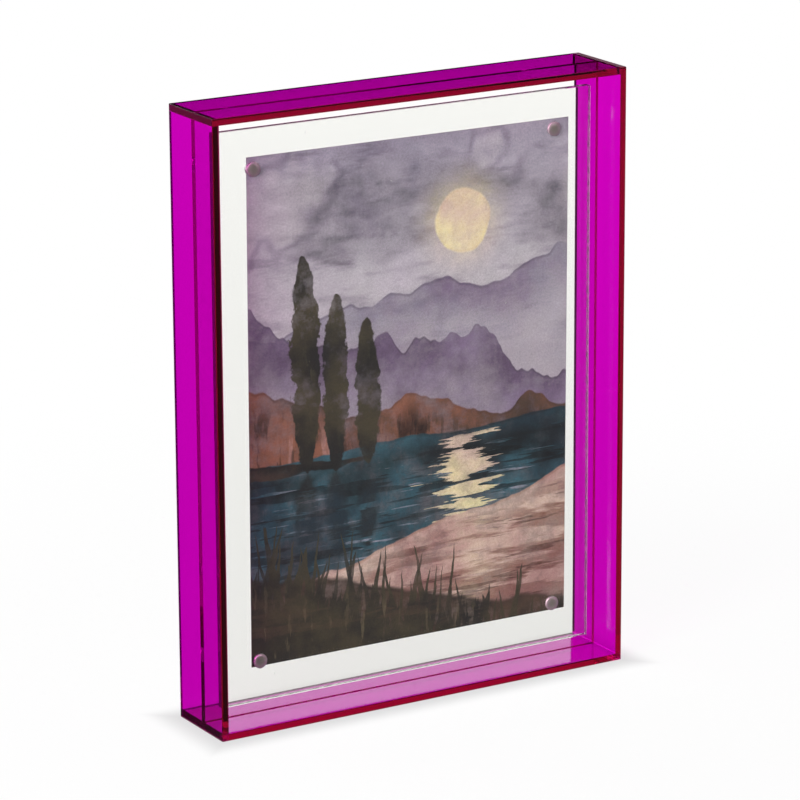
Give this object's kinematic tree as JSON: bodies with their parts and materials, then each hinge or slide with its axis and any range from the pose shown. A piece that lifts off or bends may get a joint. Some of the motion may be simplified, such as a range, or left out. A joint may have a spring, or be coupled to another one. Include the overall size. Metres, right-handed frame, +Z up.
{
  "type": "photo frame",
  "caption": "Deep box frame of magenta acrylic round a clear centre panel; a clear front plate holds one print to the panel by magnets.",
  "frame": {"origin": "middle of the base that the frame stands on, half way between its front and back rims", "axes": "+Z up along the height, +X to the viewer's right across the width, -Y out of the front towards the viewer"},
  "size_m": [0.162, 0.03, 0.215],
  "materials": {
    "magenta_acrylic": "transparent tinted cast acrylic, polished faces and edges",
    "clear_acrylic": "clear cast acrylic, polished faces and edges",
    "printed_paper": "matt photo card, printed to its edges on the front and white on the back",
    "nickel_plate": "nickel-plated disc magnet, satin to bright"
  },
  "bodies": {
    "box": {"left_wall": "magenta_acrylic", "top_wall": "magenta_acrylic", "right_wall": "magenta_acrylic", "bottom_wall": "magenta_acrylic", "centre_panel": "clear_acrylic", "rear_magnet_top_left": "nickel_plate", "rear_magnet_top_right": "nickel_plate", "rear_magnet_bottom_left": "nickel_plate", "rear_magnet_bottom_right": "nickel_plate"},
    "cover": {"front_plate": "clear_acrylic", "front_magnet_top_left": "nickel_plate", "front_magnet_top_right": "nickel_plate", "front_magnet_bottom_left": "nickel_plate", "front_magnet_bottom_right": "nickel_plate"},
    "sheet": {"art_print": "printed_paper"}
  },
  "joints": [
    {"name": "plate_pull_off", "type": "slide", "parent": "box", "child": "cover", "axis": [0, -1, 0], "range_m": [0, 0.03]},
    {"name": "print_lift_out", "type": "slide", "parent": "box", "child": "sheet", "axis": [0, -1, 0], "range_m": [0, 0.015]}
  ],
  "couplings": [
    {"joint": "print_lift_out", "follows": "plate_pull_off", "ratio": 0.5}
  ]
}
